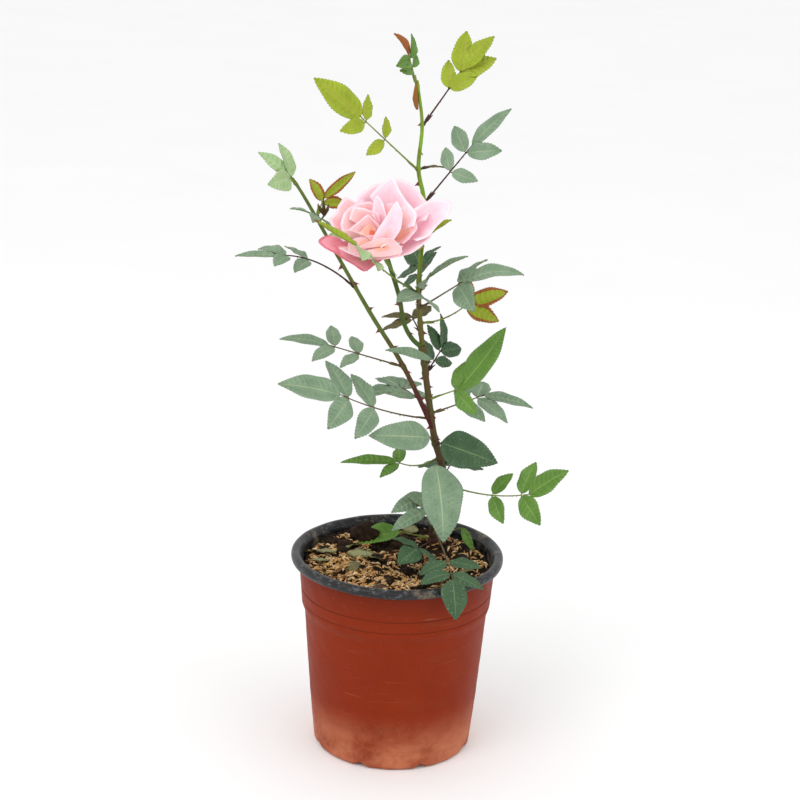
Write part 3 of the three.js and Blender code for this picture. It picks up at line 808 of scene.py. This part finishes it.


# Compound leaves: cane and up say where a leaf starts, stalk is the line from there to its end
# leaflet and end is that leaflet, each as hour, rise and length. Side leaflets grow by rule: pairs is how
# many pairs, side their length, gap their spacing and spread their angle. bow lifts the stalk's middle. All
# these are the CAD's. roll, wide, fold and bend shape the blades, and petiole names another stalk colour.
LEAVES = {
    "leaf_top_shoot": dict(
        cane="upper_cane", up=630, stalk=(8, 70, 30), end=(8, 55, 25),
        pairs=2, side=25, gap=8, roll=-50, wide=0.45, fold=0.5, tint="fresh", end_tint="copper"),
    "leaf_top_right": dict(
        cane="upper_cane", up=595, stalk=(2, 50, 65), end=(3, 50, 40),
        pairs=2, side=35, gap=18, spread=30, roll=55, wide=0.42, petiole="maroon", tint="young"),
    "leaf_upper_left": dict(
        cane="upper_cane", up=555, stalk=(8, 40, 80), end=(8.5, 40, 55),
        pairs=2, side=25, gap=25, roll=-75, wide=0.43, fold=0.08, tint="young"),
    "leaf_upper_right": dict(
        cane="upper_cane", up=525, stalk=(2, 45, 70), end=(2.5, 45, 50),
        pairs=2, side=30, gap=25, roll=40, wide=0.28, petiole="maroon", tint="old"),
    "leaf_upper_back": dict(
        cane="upper_cane", up=555, stalk=(1.5, 5, 8), end=(1.5, -5, 35),
        wide=0.22, tint="olive"),
    "leaf_left_tip": dict(
        cane="left_cane", up=545, stalk=(7.5, 45, 12), end=(8.5, 40, 35),
        pairs=1, side=35, gap=8, roll=-50, wide=0.4, tint="pale"),
    "leaf_left_high": dict(
        cane="left_cane", up=515, stalk=(6, 20, 15), end=(6, 0, 25),
        pairs=1, side=25, gap=5, roll=-30, wide=0.45, tint="old"),
    "leaf_left_brown": dict(
        cane="left_cane", up=515, stalk=(1, 50, 20), end=(2, 35, 40),
        pairs=1, side=25, gap=8, roll=60, wide=0.24, fold=0.4, tint="young", edge="copper"),
    "leaf_far_left": dict(
        cane="left_cane", up=450, stalk=(8, 25, 85), end=(9, 0, 40),
        pairs=2, side=30, gap=25, bow=8, roll=-15, wide=0.3, bend=15, petiole="maroon", tint="old"),
    "leaf_over_bloom": dict(
        cane="upper_cane", up=440, stalk=(7, 30, 130), end=(8.5, 30, 45),
        pairs=2, side=30, gap=20, bow=-4, roll=-20, wide=0.24, fold=0.5, bend=-15, tint="pale",
        end_tint="young", tip="copper"),
    "young_shoot": dict(
        cane="upper_cane", up=435, stalk=(6, 75, 60), end=(3.5, 40, 35),
        pairs=1, side=20, gap=5, roll=40, wide=0.3, fold=0.4, tint="young"),
    "leaf_right_small": dict(
        cane="upper_cane", up=440, stalk=(5, 45, 30), end=(3.5, 35, 40),
        pairs=1, side=30, gap=4, roll=20, wide=0.28, tint="old"),
    # Its dark tint is painted shade: this leaf sits in the bloom's shadow.
    "leaf_behind_bloom": dict(
        cane="upper_cane", up=450, stalk=(12, 15, 35), end=(11.5, 20, 40),
        pairs=2, side=30, gap=18, roll=-50, tint="dark"),
    "leaf_right_arched": dict(
        cane="upper_cane", up=425, stalk=(4, 35, 55), end=(3.5, 20, 60),
        pairs=1, side=40, gap=10, roll=30, wide=0.3, bend=62, tint="old"),
    "leaf_right_young": dict(
        cane="upper_cane", up=410, stalk=(2, 15, 55), end=(2.5, 15, 40),
        pairs=1, side=35, gap=8, bow=-5, roll=60, wide=0.42, tint="young", edge="copper", tip="copper"),
    "leaf_front_pale": dict(
        cane="upper_cane", up=425, stalk=(6, 30, 45), end=(7, 5, 40),
        pairs=1, side=30, gap=5, roll=-20, wide=0.45, tint="old"),
    "leaf_left_back": dict(
        cane="upper_cane", up=400, stalk=(11.5, 10, 35), end=(10, -5, 35),
        pairs=1, side=30, gap=6, roll=-20, wide=0.28, tint="olive"),
    "leaf_mid_front": dict(
        cane="main_stem", up=370, stalk=(5.5, 25, 25), end=(8, 20, 50),
        roll=-35, wide=0.24, tint="old"),
    "leaf_right_inner": dict(
        cane="main_stem", up=360, stalk=(1, 30, 35), end=(12, 60, 35),
        pairs=2, side=30, gap=12, roll=60, wide=0.42, tint="dark"),
    "leaf_right_bright": dict(
        cane="main_stem", up=335, stalk=(4, 25, 35), end=(3.5, 55, 80),
        pairs=1, side=30, gap=4, roll=70, wide=0.3, fold=0.1, bend=-25, tint="fresh"),
    "leaf_right_long": dict(
        cane="main_stem", up=320, stalk=(2, 10, 60), end=(3, -10, 50),
        pairs=2, side=40, gap=22, roll=25, wide=0.28, tint="old"),
    "leaf_left_third": dict(
        cane="left_cane", up=370, stalk=(9.5, 10, 75), end=(9.5, 5, 50),
        pairs=2, side=30, gap=25, roll=-25, wide=0.26, bend=30, tint="old"),
    "leaf_left_fourth": dict(
        cane="main_stem", up=315, stalk=(8, 20, 105), end=(8.5, 15, 60),
        pairs=2, side=45, gap=28, bow=-4, roll=-45, wide=0.42, tint="old"),
    "leaf_left_large": dict(
        cane="main_stem", up=295, stalk=(6.5, 20, 20), end=(8, 10, 65),
        roll=-65, wide=0.42, tint="old"),
    "leaf_right_large": dict(
        cane="main_stem", up=290, stalk=(5.5, 20, 20), end=(4.5, 0, 70),
        roll=60, wide=0.47, fold=0.05, bend=22, tint="dark"),
    "leaf_left_lower": dict(
        cane="main_stem", up=275, stalk=(10, -15, 50), end=(9, 0, 55),
        pairs=1, side=25, gap=8, bow=-6, roll=-30, wide=0.22, tint="fresh"),
    "leaf_front_large": dict(
        cane="main_stem", up=265, stalk=(6.5, 25, 25), end=(5.5, -55, 75),
        roll=-10, wide=0.56, fold=0.16, tint="old"),
    "leaf_low_left": dict(
        cane="main_stem", up=225, stalk=(9.5, 40, 15), end=(8, -15, 40),
        roll=-35, wide=0.42, tint="old"),
    "leaf_low_left_front": dict(
        cane="main_stem", up=210, stalk=(7, 40, 25), end=(8, -20, 40),
        pairs=1, side=25, gap=5, roll=-30, wide=0.38, tint="old"),
    "leaf_soil_left": dict(
        cane="main_stem", up=190, stalk=(9.5, 5, 35), end=(8.5, -10, 45),
        roll=-35, wide=0.45, fold=0.5, tint="fresh"),
    "leaf_right_low": dict(
        cane="main_stem", up=250, stalk=(4, 5, 95), end=(3.5, 40, 45),
        pairs=2, side=35, gap=30, bow=-6, roll=55, wide=0.46, tint="fresh"),
    "leaf_back_low": dict(
        cane="main_stem", up=240, stalk=(12.5, 20, 45), end=(12, 5, 45),
        pairs=1, side=40, gap=18, bow=4, tint="dark"),
    "leaf_back_mid": dict(
        cane="main_stem", up=320, stalk=(10.5, 20, 45), end=(11, 0, 45),
        pairs=2, side=40, gap=18, bow=4, tint="old"),
    "leaf_front_low": dict(
        cane="main_stem", up=200, stalk=(5.75, 0, 125), end=(5.75, -40, 40),
        pairs=2, side=35, gap=25, bow=4, wide=0.58, fold=0.08, petiole="olive", tint="dark"),
    "leaf_front_soil": dict(
        cane="main_stem", up=190, stalk=(6.5, 12, 60), end=(7, -5, 35),
        pairs=1, side=30, gap=6, roll=-30, wide=0.6, tint="dark"),
    "leaf_right_drooping": dict(
        cane="main_stem", up=195, stalk=(3.5, 20, 30), end=(4.5, -50, 25),
        roll=50, wide=0.34, tint="fresh"),
}
# What holds for a leaf whose row doesn't say, and the width of side leaflets as a share of their length.
LEAF_WIDTH = 0.56
LEAF_FOLD = 0.16
LEAF_BEND = 25
SIDE_SPREAD = 58
SIDE_WIDTH = 0.5

# Leaf stalks: skin and patch tones of each colour, and the colour that goes with each leaf's tint.
STALKS = dict(green=((120, 140, 56), (98, 84, 44)), olive=((98, 86, 52), (84, 46, 38)),
              maroon=((70, 40, 36), (48, 32, 28)))
STALK_COLOURS = dict(old="olive", dark="maroon", fresh="green", pale="green", young="green", olive="maroon")


def stalk_line(leaf):
    point, radius, _ = limb_at(leaf["cane"], leaf["up"])
    hour, rise, length = leaf["stalk"]
    start = point + toward(hour, 0) * radius * 0.8
    end = point + toward(hour, rise) * length
    middle = (start + end) / 2
    middle[2] += 2 * leaf.get("bow", 0)
    return arch(start, middle, end)


def blade_normal(forward, roll):
    level = unit(np.cross([0, 0, 1], forward))
    return turned(np.cross(forward, level), forward, roll)


def side_leaflets(leaf, line, endway):
    """The pairs of leaflets beside a stalk, as foot, direction, upward direction and length."""
    length = leaf["stalk"][2]
    for pair in range(leaf.get("pairs", 0)):
        t = max(0.15, 1 - (3 + leaf["gap"] * (pair + 0.15)) / length)
        at = int(t * (len(line) - 1))
        tangent = unit(line[min(at + 1, len(line) - 1)] - line[at - 1])
        along = unit(tangent * 0.7 + endway * 0.3)
        size = leaf["side"] * (1 - 0.15 * pair)
        normal = blade_normal(along, leaf.get("roll", 0))
        for sign in (1, -1):
            angle = leaf.get("spread", SIDE_SPREAD) + random.uniform(-8, 8)
            out = turned(along, normal, sign * angle)
            out = unit(out + np.array([0, 0, random.uniform(-0.28, 0.12)]))
            yield line[at], out, normal, size * random.uniform(0.88, 1.08)


PRICKLE_GAP = 14


def grow_leaf(leaf, blades, stalks):
    """A stalk with its wings, prickles and leaflets."""
    line = stalk_line(leaf)
    tint = leaf["tint"]
    kind = list(STALKS).index(leaf.get("petiole", STALK_COLOURS[tint]))
    length = leaf["stalk"][2]
    share = np.linspace(0, 1, len(line))
    add_tube(stalks, line, 0.9 - 0.35 * share + 0.8 * np.exp(-share * length / 3), kind, sides=8)
    hour, rise, blade = leaf["end"]
    endway = toward(hour, rise)
    fold = leaf.get("fold", LEAF_FOLD)
    add_leaflet(blades, line[-1], endway, blade_normal(endway, leaf.get("roll", 0)), blade,
                blade * leaf.get("wide", LEAF_WIDTH), leaf.get("end_tint", tint), fold=fold,
                bend=leaf.get("bend", LEAF_BEND), wave=random.uniform(0.03, 0.09), edge=leaf.get("edge"),
                tip=leaf.get("tip"))
    for root, out, normal, size in side_leaflets(leaf, line, endway):
        foot = root + out * 1.8
        add_tube(stalks, np.array([root, root + out, foot]), np.array([0.6, 0.5, 0.5]), kind, sides=6)
        add_leaflet(blades, foot, out, normal, size, size * SIDE_WIDTH, tint, fold=fold,
                    bend=random.uniform(5, 40), twist=random.uniform(-20, 20),
                    wave=random.uniform(0.04, 0.11), edge=leaf.get("edge"))
    add_stipules(stalks, line, kind)
    for _ in range(int(length / PRICKLE_GAP)):
        root = line[random.integers(3, len(line) - 2)]
        down = unit(np.array([random.uniform(-0.4, 0.4), random.uniform(-0.4, 0.4), -1.0]))
        path = np.array([root, root + down * 1.1, root + down * 2.0])
        add_tube(stalks, path, np.array([0.5, 0.3, 0.08]), kind, sides=6)


def add_stipules(stalks, line, kind):
    """The two narrow wings at the foot of a rose leaf's stalk."""
    along = unit(line[3] - line[0])
    side = unit(np.cross(along, [0, 0, 1]))
    for sign in (1, -1):
        root = line[0] + along * 1.0
        path = np.array([root, root + along * 4 + side * sign * 1.3, root + along * 8 + side * sign * 2,
                         root + along * 11 + side * sign * 4])
        add_tube(stalks, path, np.array([0.5, 1.1, 0.9, 0.1]), kind, sides=6, flat=0.3)


# Foliage is joined into three pieces by the height that a leaf starts above.
FOLIAGE = dict(foliage_upper=436, foliage_middle=300, foliage_lower=0)
# The pot's litter goes with the lowest.
LITTER_PIECE = "foliage_lower"


def make_leaves():
    tints = tint_materials()
    stalks = Heap()
    groups = {group: [] for group in FOLIAGE}
    for name, leaf in LEAVES.items():
        group = next(group for group, low in FOLIAGE.items() if leaf["up"] > low)
        groups[group].append(name)
    for group, names in groups.items():
        blades = Heap()
        for name in names:
            grow_leaf(LEAVES[name], blades, stalks)
        if group == LITTER_PIECE:
            add_litter(blades)
        piece = blades.build(group, tints)
        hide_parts(*names)
        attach(piece, "root")
    barks = []
    for name, (skin, patch) in STALKS.items():
        barks.append(bark_finish("stalk_" + name, skin, skin, 0, 600, patch))
    twigs = stalks.build("leaf_stalks", barks)
    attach(twigs, "root")


# Fallen, wilted leaflets on the soil: place, hour, length and tint.
LITTER = [(-58, 16, 9, 32, "wilted"), (-48, 12, 3, 30, "wilted"), (-56, 24, 2, 24, "wilted"),
          (-44, -8, 5.5, 22, "olive"), (-30, 4, 4, 20, "wilted"), (-64, -4, 9, 18, "wilted"),
          (58, -20, 2, 18, "olive"), (-10, -52, 8, 16, "brown"), (20, 68, 10, 20, "wilted")]


def add_litter(blades):
    for x, y, hour, length, tint in LITTER:
        out = toward(hour, random.uniform(0, 10))
        foot = np.array([x, y, float(soil_height(x, y)) + 3.0])
        add_leaflet(blades, foot, out, blade_normal(out, random.uniform(-20, 20)), length, length * 0.6, tint,
                    fold=-0.15, bend=30, wave=0.1, twist=random.uniform(-30, 30), edge="olive")


# ---------------- the bloom

BLOOM_BASE = np.array([-20.0, -2.0, 486.0])
BLOOM_HEART = np.array([-40.0, -45.0, 509.0])
# The bloom's own directions: to the right, up its open face, and out of it.
BLOOM_OUT = unit(np.array([0, -0.95, 0.3]))
BLOOM_UP = np.cross([1, 0, 0], BLOOM_OUT) * -1
BLOOM_FRAME = np.array([[1, 0, 0], BLOOM_UP, BLOOM_OUT])

# Petals, from the outside in: the colouring, how far out of the bloom the narrow claw ends, and
# the free edge. Places are right, up and out from the bloom's heart.
PETALS = [
    ("pale", -34, [(-8, 24, -22), (-4, 38, -22), (10, 48, -24), (20, 48, -24), (28, 40, -20)]),
    ("pale", -34, [(26, 44, -24), (27, 54, -25), (36, 53, -27), (43, 50, -28), (50, 41, -26), (57, 30, -22),
                   (54, 18, -16)]),
    ("pale", -26, [(6, 36, -14), (14, 46, -16), (24, 56, -18), (28, 46, -13), (36, 33, -8), (45, 21, -4),
                   (44, 10, -4)]),
    ("pink", -26, [(40, 22, -8), (52, 28, -12), (64, 34, -16), (78, 34, -20), (73, 22, -16), (66, 13, -14),
                   (59, 4, -12), (48, -2, -8)]),
    ("pink", -24, [(64, 12, -18), (60, 2, -14), (52, -6, -10), (42, -13, -8), (32, -17, -7), (22, -14, -6)]),
    # Partly painted shade: the deeper rose of these two reflexed lower petals stands for their colour and for
    # the shade they sit in.
    ("dusty", -26, [(24, -14, -12), (13, -22, -10), (2, -30, -8), (-8, -25, -8), (-20, -18, -10),
                    (-24, -8, -12)]),
    ("dusty", -28, [(-16, -20, -12), (-28, -13, -14), (-39, -5, -16), (-32, -1, -16), (-24, 2, -16)]),
    ("salmon", -26, [(-16, -4, -8), (-26, 6, -10), (-30, 15, -14), (-24, 22, -16), (-22, 28, -18),
                     (-17, 35, -20), (-8, 31, -20), (0, 34, -20)]),
    ("salmon", -18, [(-14, 0, 0), (-19, 10, -4), (-17, 20, -8), (-8, 28, -10), (4, 31, -12), (12, 26, -10)]),
    ("warm", -16, [(26, 22, -10), (34, 27, -9), (43, 19, -6), (48, 9, -6), (42, 0, -4), (36, -6, -3)]),
    ("salmon", -12, [(-12, 14, -4), (-9, 25, -5), (2, 23, -3), (11, 20, -3), (14, 13, -3)]),
    ("pink", -8, [(8, 18, -4), (11, 36, -7), (16, 28, -3), (21, 14, 0), (19, 2, 0)]),
    ("warm", -12, [(17, 20, -8), (22, 30, -8), (30, 28, -8), (34, 14, -6)]),
    ("salmon", -6, [(-26, 2, -4), (-12, 4, 1), (0, 0, 5), (7, -6, 6), (0, -13, 4), (-12, -15, 0),
                    (-21, -11, -3)]),
    ("salmon", -5, [(-13, 3, 3), (-4, 11, 3), (4, 18, 2), (10, 12, 2), (17, 5, 2)]),
    # Partly painted shade: this small coral petal stands for the deep coral heart and for the shade in the
    # gap under the petal above it.
    ("coral", -2, [(-3, 0, 5), (1, 6, 4), (5, 9, 4), (10, 4, 5), (9, -6, 6)]),
    ("pink", 4, [(8, -9, 9), (13, 3, 10), (22, 17, 8), (30, 31, 4), (35, 20, 3), (34, 7, 4), (28, -3, 6),
                 (16, -11, 8)]),
    ("warm", 0, [(36, -8, -2), (34, -17, -2), (20, -21, 0), (2, -21, 1), (-12, -16, 1), (-12, -6, 2),
                 (2, -1, 3), (16, 1, 3)]),
    ("salmon", 5, [(-5, -13, 8), (6, -7, 11), (18, -3, 11), (27, -3, 8), (34, -9, 4), (36, -14, 1),
                   (25, -18, 3), (6, -20, 5), (-4, -16, 7)]),
]

# Each colouring: the face near the heart, its middle, its free part, the rim and the back of the petal.
COLOURINGS = dict(pale=("pink", "pale", "pale", "white", "pale"),
                  pink=("salmon", "pink", "pale", "white", "pale"),
                  salmon=("warm", "salmon", "salmon", "pale", "pink"),
                  warm=("warm", "warm", "salmon", "pink", "salmon"),
                  coral=("coral", "coral", "warm", "warm", "warm"),
                  dusty=("dusty", "dusty", "dusty", "rose", "dusty"))
# The coral tones are partly painted shade in the gap at the heart.
PETAL_TONES = dict(coral=((246, 134, 102), (238, 108, 76)), warm=((253, 194, 176), (250, 172, 154)),
                   salmon=((254, 206, 206), (252, 188, 192)), pink=((254, 212, 224), (252, 198, 214)),
                   pale=((255, 222, 232), (253, 208, 220)), white=((255, 230, 236), (254, 220, 228)),
                   # The dusty and rose tones are partly painted shade on the lower outer petals.
                   dusty=((246, 166, 178), (236, 144, 158)), rose=((228, 128, 144), (214, 108, 126)))
PETAL_NAMES = list(PETAL_TONES)
PETAL_ROWS = 22
# Points on the free edge for each stretch between two given ones.
PETAL_SPAN = 8
# The claw's share of a petal's length.
CLAW = 0.25
PETAL_THICKNESS = 0.4


def add_petal(heap, colouring, knee_out, edge):
    """One petal: a thin closed sheet, a narrow claw from the bloom's base and then a fan to its free edge."""
    line = smooth_curve(edge, PETAL_SPAN)
    corners = np.array(edge, float)
    place = np.arange(len(line)) / PETAL_SPAN
    straight = np.stack([np.interp(place, np.arange(len(edge)), corners[:, k]) for k in range(3)], -1)
    line = line * 0.4 + straight * 0.6
    middle = line.mean(0)
    base = BLOOM_FRAME @ (BLOOM_BASE - BLOOM_HEART)
    base = base + unit((middle - base) * [1, 1, 0.1]) * 3
    knee = base + (middle - base) * 0.15
    knee[2] = knee_out
    t = np.linspace(0, 1, PETAL_ROWS)[:, None]
    u = np.linspace(-1, 1, len(line))[None]
    claw = np.clip(t / CLAW, 0, 1)
    fan = np.clip((t - CLAW) / (1 - CLAW), 0, 1)
    reach = line - knee
    flat = 0.02 + 0.98 * fan ** 0.9
    out = 0.01 + 0.99 * fan ** 0.75
    sheet = base + (knee - base) * claw[..., None]
    sheet = sheet + np.stack([flat * reach[:, 0], flat * reach[:, 1], out * reach[:, 2]], -1)
    rows, columns = np.gradient(sheet, axis=(0, 1))
    normal = unit(np.cross(columns, rows))
    normal = normal * np.sign(normal[-4:, :, 2].mean() + 1e-6)
    size = np.linalg.norm(middle - knee)
    ripple = 0.03 * size * t ** 2 * np.sin(3.2 * u + size) + 0.012 * size * t ** 3 * np.sin(9 * u + 2 * size)
    hollow = -0.05 * size * np.sin(math.pi * fan) * (1 - u ** 2)
    roll = -0.055 * size * np.clip((t - 0.84) / 0.16, 0, 1) ** 2
    sheet = sheet + normal * (ripple + hollow + roll)[..., None]
    inner = BLOOM_HEART + sheet @ BLOOM_FRAME
    outer = BLOOM_HEART + (sheet - normal * PETAL_THICKNESS) @ BLOOM_FRAME
    deep, mid, free, rim, back = (PETAL_NAMES.index(part) for part in COLOURINGS[colouring])
    centre = (t[:-1] + t[1:]) / 2 + 0.05 * np.sin(5 * u[:, 1:] + size)
    kinds = np.where(centre < 0.5, deep, np.where(centre < 0.7, mid, free))
    kinds[-1] = rim
    if np.cross(columns, rows)[-4:, :, 2].mean() < 0:
        inner, outer, kinds = inner[:, ::-1], outer[:, ::-1], kinds[:, ::-1]
    add_shell(heap, inner, outer, kinds[:, ::-1], back, rim)


def make_bloom():
    heap = Heap()
    for petal in PETALS:
        add_petal(heap, *petal)
    finishes = [petal_finish("petal_" + name, *tones) for name, tones in PETAL_TONES.items()]
    bloom = heap.build("bloom_petals", finishes)
    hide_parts("bloom")
    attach(bloom, "root")


def make_sepals():
    """The green cup under the bloom and its five narrow sepals, bent back."""
    heap = Heap()
    axis = unit(BLOOM_HEART - BLOOM_BASE)
    right = unit(np.cross(axis, [0, 0, 1]))
    up = np.cross(right, axis)
    cup = BLOOM_BASE + axis * np.linspace(-4, 7, 9)[:, None]
    add_tube(heap, cup, [1.6, 2.6, 3.8, 4.6, 4.9, 4.7, 4.2, 4.4, 3.5], 0, sides=16)
    for k in range(5):
        angle = math.radians(72 * k + 20)
        out = right * math.cos(angle) + up * math.sin(angle)
        path = smooth_curve([BLOOM_BASE + axis * 4 + out * 4, BLOOM_BASE + axis * 7 + out * 12,
                             BLOOM_BASE + axis * 2 + out * 21, BLOOM_BASE - axis * 7 + out * 26], 6)
        widths = np.interp(np.linspace(0, 1, len(path)), [0, 0.3, 1], [2.6, 2.8, 0.15])
        add_tube(heap, path, widths, 0, sides=8, flat=0.25)
    sepals = heap.build("sepals", [leaf_finish("sepal_green", (112, 142, 58), (80, 110, 42))])
    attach(sepals, "root")


def make_buds():
    """The small brown tip of the upper cane, and a dark three-pronged bud on the left cane."""
    heap = Heap()
    tip = LINES["upper_cane"][-1]
    add_tube(heap, tip + np.array([[1, 0, -26], [0, -1, -22], [-1, -2, -16], [-1, -2, -8], [-1, -2, 0]]),
             [1.2, 2.2, 2.8, 1.7, 0.2], 0, sides=10)
    point, _, _ = limb_at("left_cane", 510)
    fork = point + np.array([5, -6, 8])
    add_tube(heap, np.array([point, (point + fork) / 2, fork]), [0.9, 0.7, 0.9], 1, sides=8)
    for right, high in ((-6, 11), (-1, 17), (4, 11)):
        end = fork + np.array([right, -1, high])
        middle = fork * 0.5 + end * 0.5 + [right * 0.15, 0, 0]
        add_tube(heap, np.array([fork, middle, end]), [1.1, 1.7, 0.2], 1, sides=8)
    buds = heap.build("buds", [leaf_finish("bud_brown", (150, 96, 40), (110, 66, 30)),
                               leaf_finish("bud_dark", (84, 66, 34), (58, 42, 26))])
    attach(buds, "root")


# ---------------- floor, light, camera

FLOOR_REACH = 14000
# Down, right and tilt in degrees, the place in metres and the lens in millimetres.
CAMERA_ANGLES = (17.5, -0.067, 1.85)
CAMERA_PLACE = (0, -1.75, 0.895)
CAMERA_LENS = 88.74


def make_stage():
    heap = Heap()
    corners = np.array([[-1, -1, 0], [1, -1, 0], [1, 1, 0], [-1, 1, 0]]) * FLOOR_REACH - [0, 0, 1]
    heap.add(corners, np.array([[0, 1, 2, 3]]), 0)
    finish = Finish("studio_floor", 0.9, 0.1)
    finish.colour(finish.blend(finish.noise(3, 2), tone(250, 250, 250), tone(246, 246, 246)))
    floor = heap.build("floor", [finish.material])


def make_light():
    """A white world and two soft lamps."""
    world = bpy.data.worlds.new("studio")
    world.use_nodes = True
    world.node_tree.nodes["Background"].inputs["Color"].default_value = (1, 1, 1, 1)
    world.node_tree.nodes["Background"].inputs["Strength"].default_value = 1.0
    bpy.context.scene.world = world
    for name, place, size, power in (("key", (-1.1, -1.5, 2.2), 1.4, 17), ("fill", (1.4, -0.9, 1.2), 1.6, 4)):
        light = bpy.data.lights.new(name, "AREA")
        light.size = size
        light.energy = power
        lamp = bpy.data.objects.new(name, light)
        lamp.location = place
        lamp.rotation_euler = (Vector((0, 0, 0.35)) - Vector(place)).to_track_quat("-Z", "Y").to_euler()
        bpy.context.scene.collection.objects.link(lamp)


def make_camera():
    """The photograph's angle: from the front and above, tilted a little."""
    pitch, yaw, roll = (math.radians(angle) for angle in CAMERA_ANGLES)
    ahead = Vector((math.sin(yaw) * math.cos(pitch), math.cos(yaw) * math.cos(pitch), -math.sin(pitch)))
    right = Vector((math.cos(yaw), -math.sin(yaw), 0))
    up = right.cross(ahead)
    across = math.cos(roll) * right + math.sin(roll) * up
    upward = -math.sin(roll) * right + math.cos(roll) * up
    data = bpy.data.cameras.new("camera")
    data.sensor_width = 36
    data.lens = CAMERA_LENS
    camera = bpy.data.objects.new("camera", data)
    turn = Matrix((across, upward, -ahead)).transposed().to_4x4()
    camera.matrix_world = Matrix.Translation(CAMERA_PLACE) @ turn
    bpy.context.scene.collection.objects.link(camera)
    bpy.context.scene.camera = camera
    bpy.context.scene.view_settings.view_transform = "Standard"


make_pot()
make_rim()
make_soil()
make_husks()
make_limb("main_stem", bark_finish("bark_main", (66, 46, 34), (86, 78, 40), 180, 380, (100, 46, 36)))
make_limb("upper_cane", bark_finish("bark_upper", (98, 90, 42), (120, 160, 38), 395, 520, (100, 92, 34)))
make_limb("left_cane", bark_finish("bark_left", (78, 32, 30), (92, 112, 46), 330, 430, (92, 70, 38)))
make_limb("bloom_stalk", bark_finish("bark_bloom", (72, 98, 38), (66, 90, 40), 390, 470, (84, 82, 38)))
make_thorns()
make_leaves()
make_bloom()
make_sepals()
make_buds()
make_stage()
make_light()
make_camera()
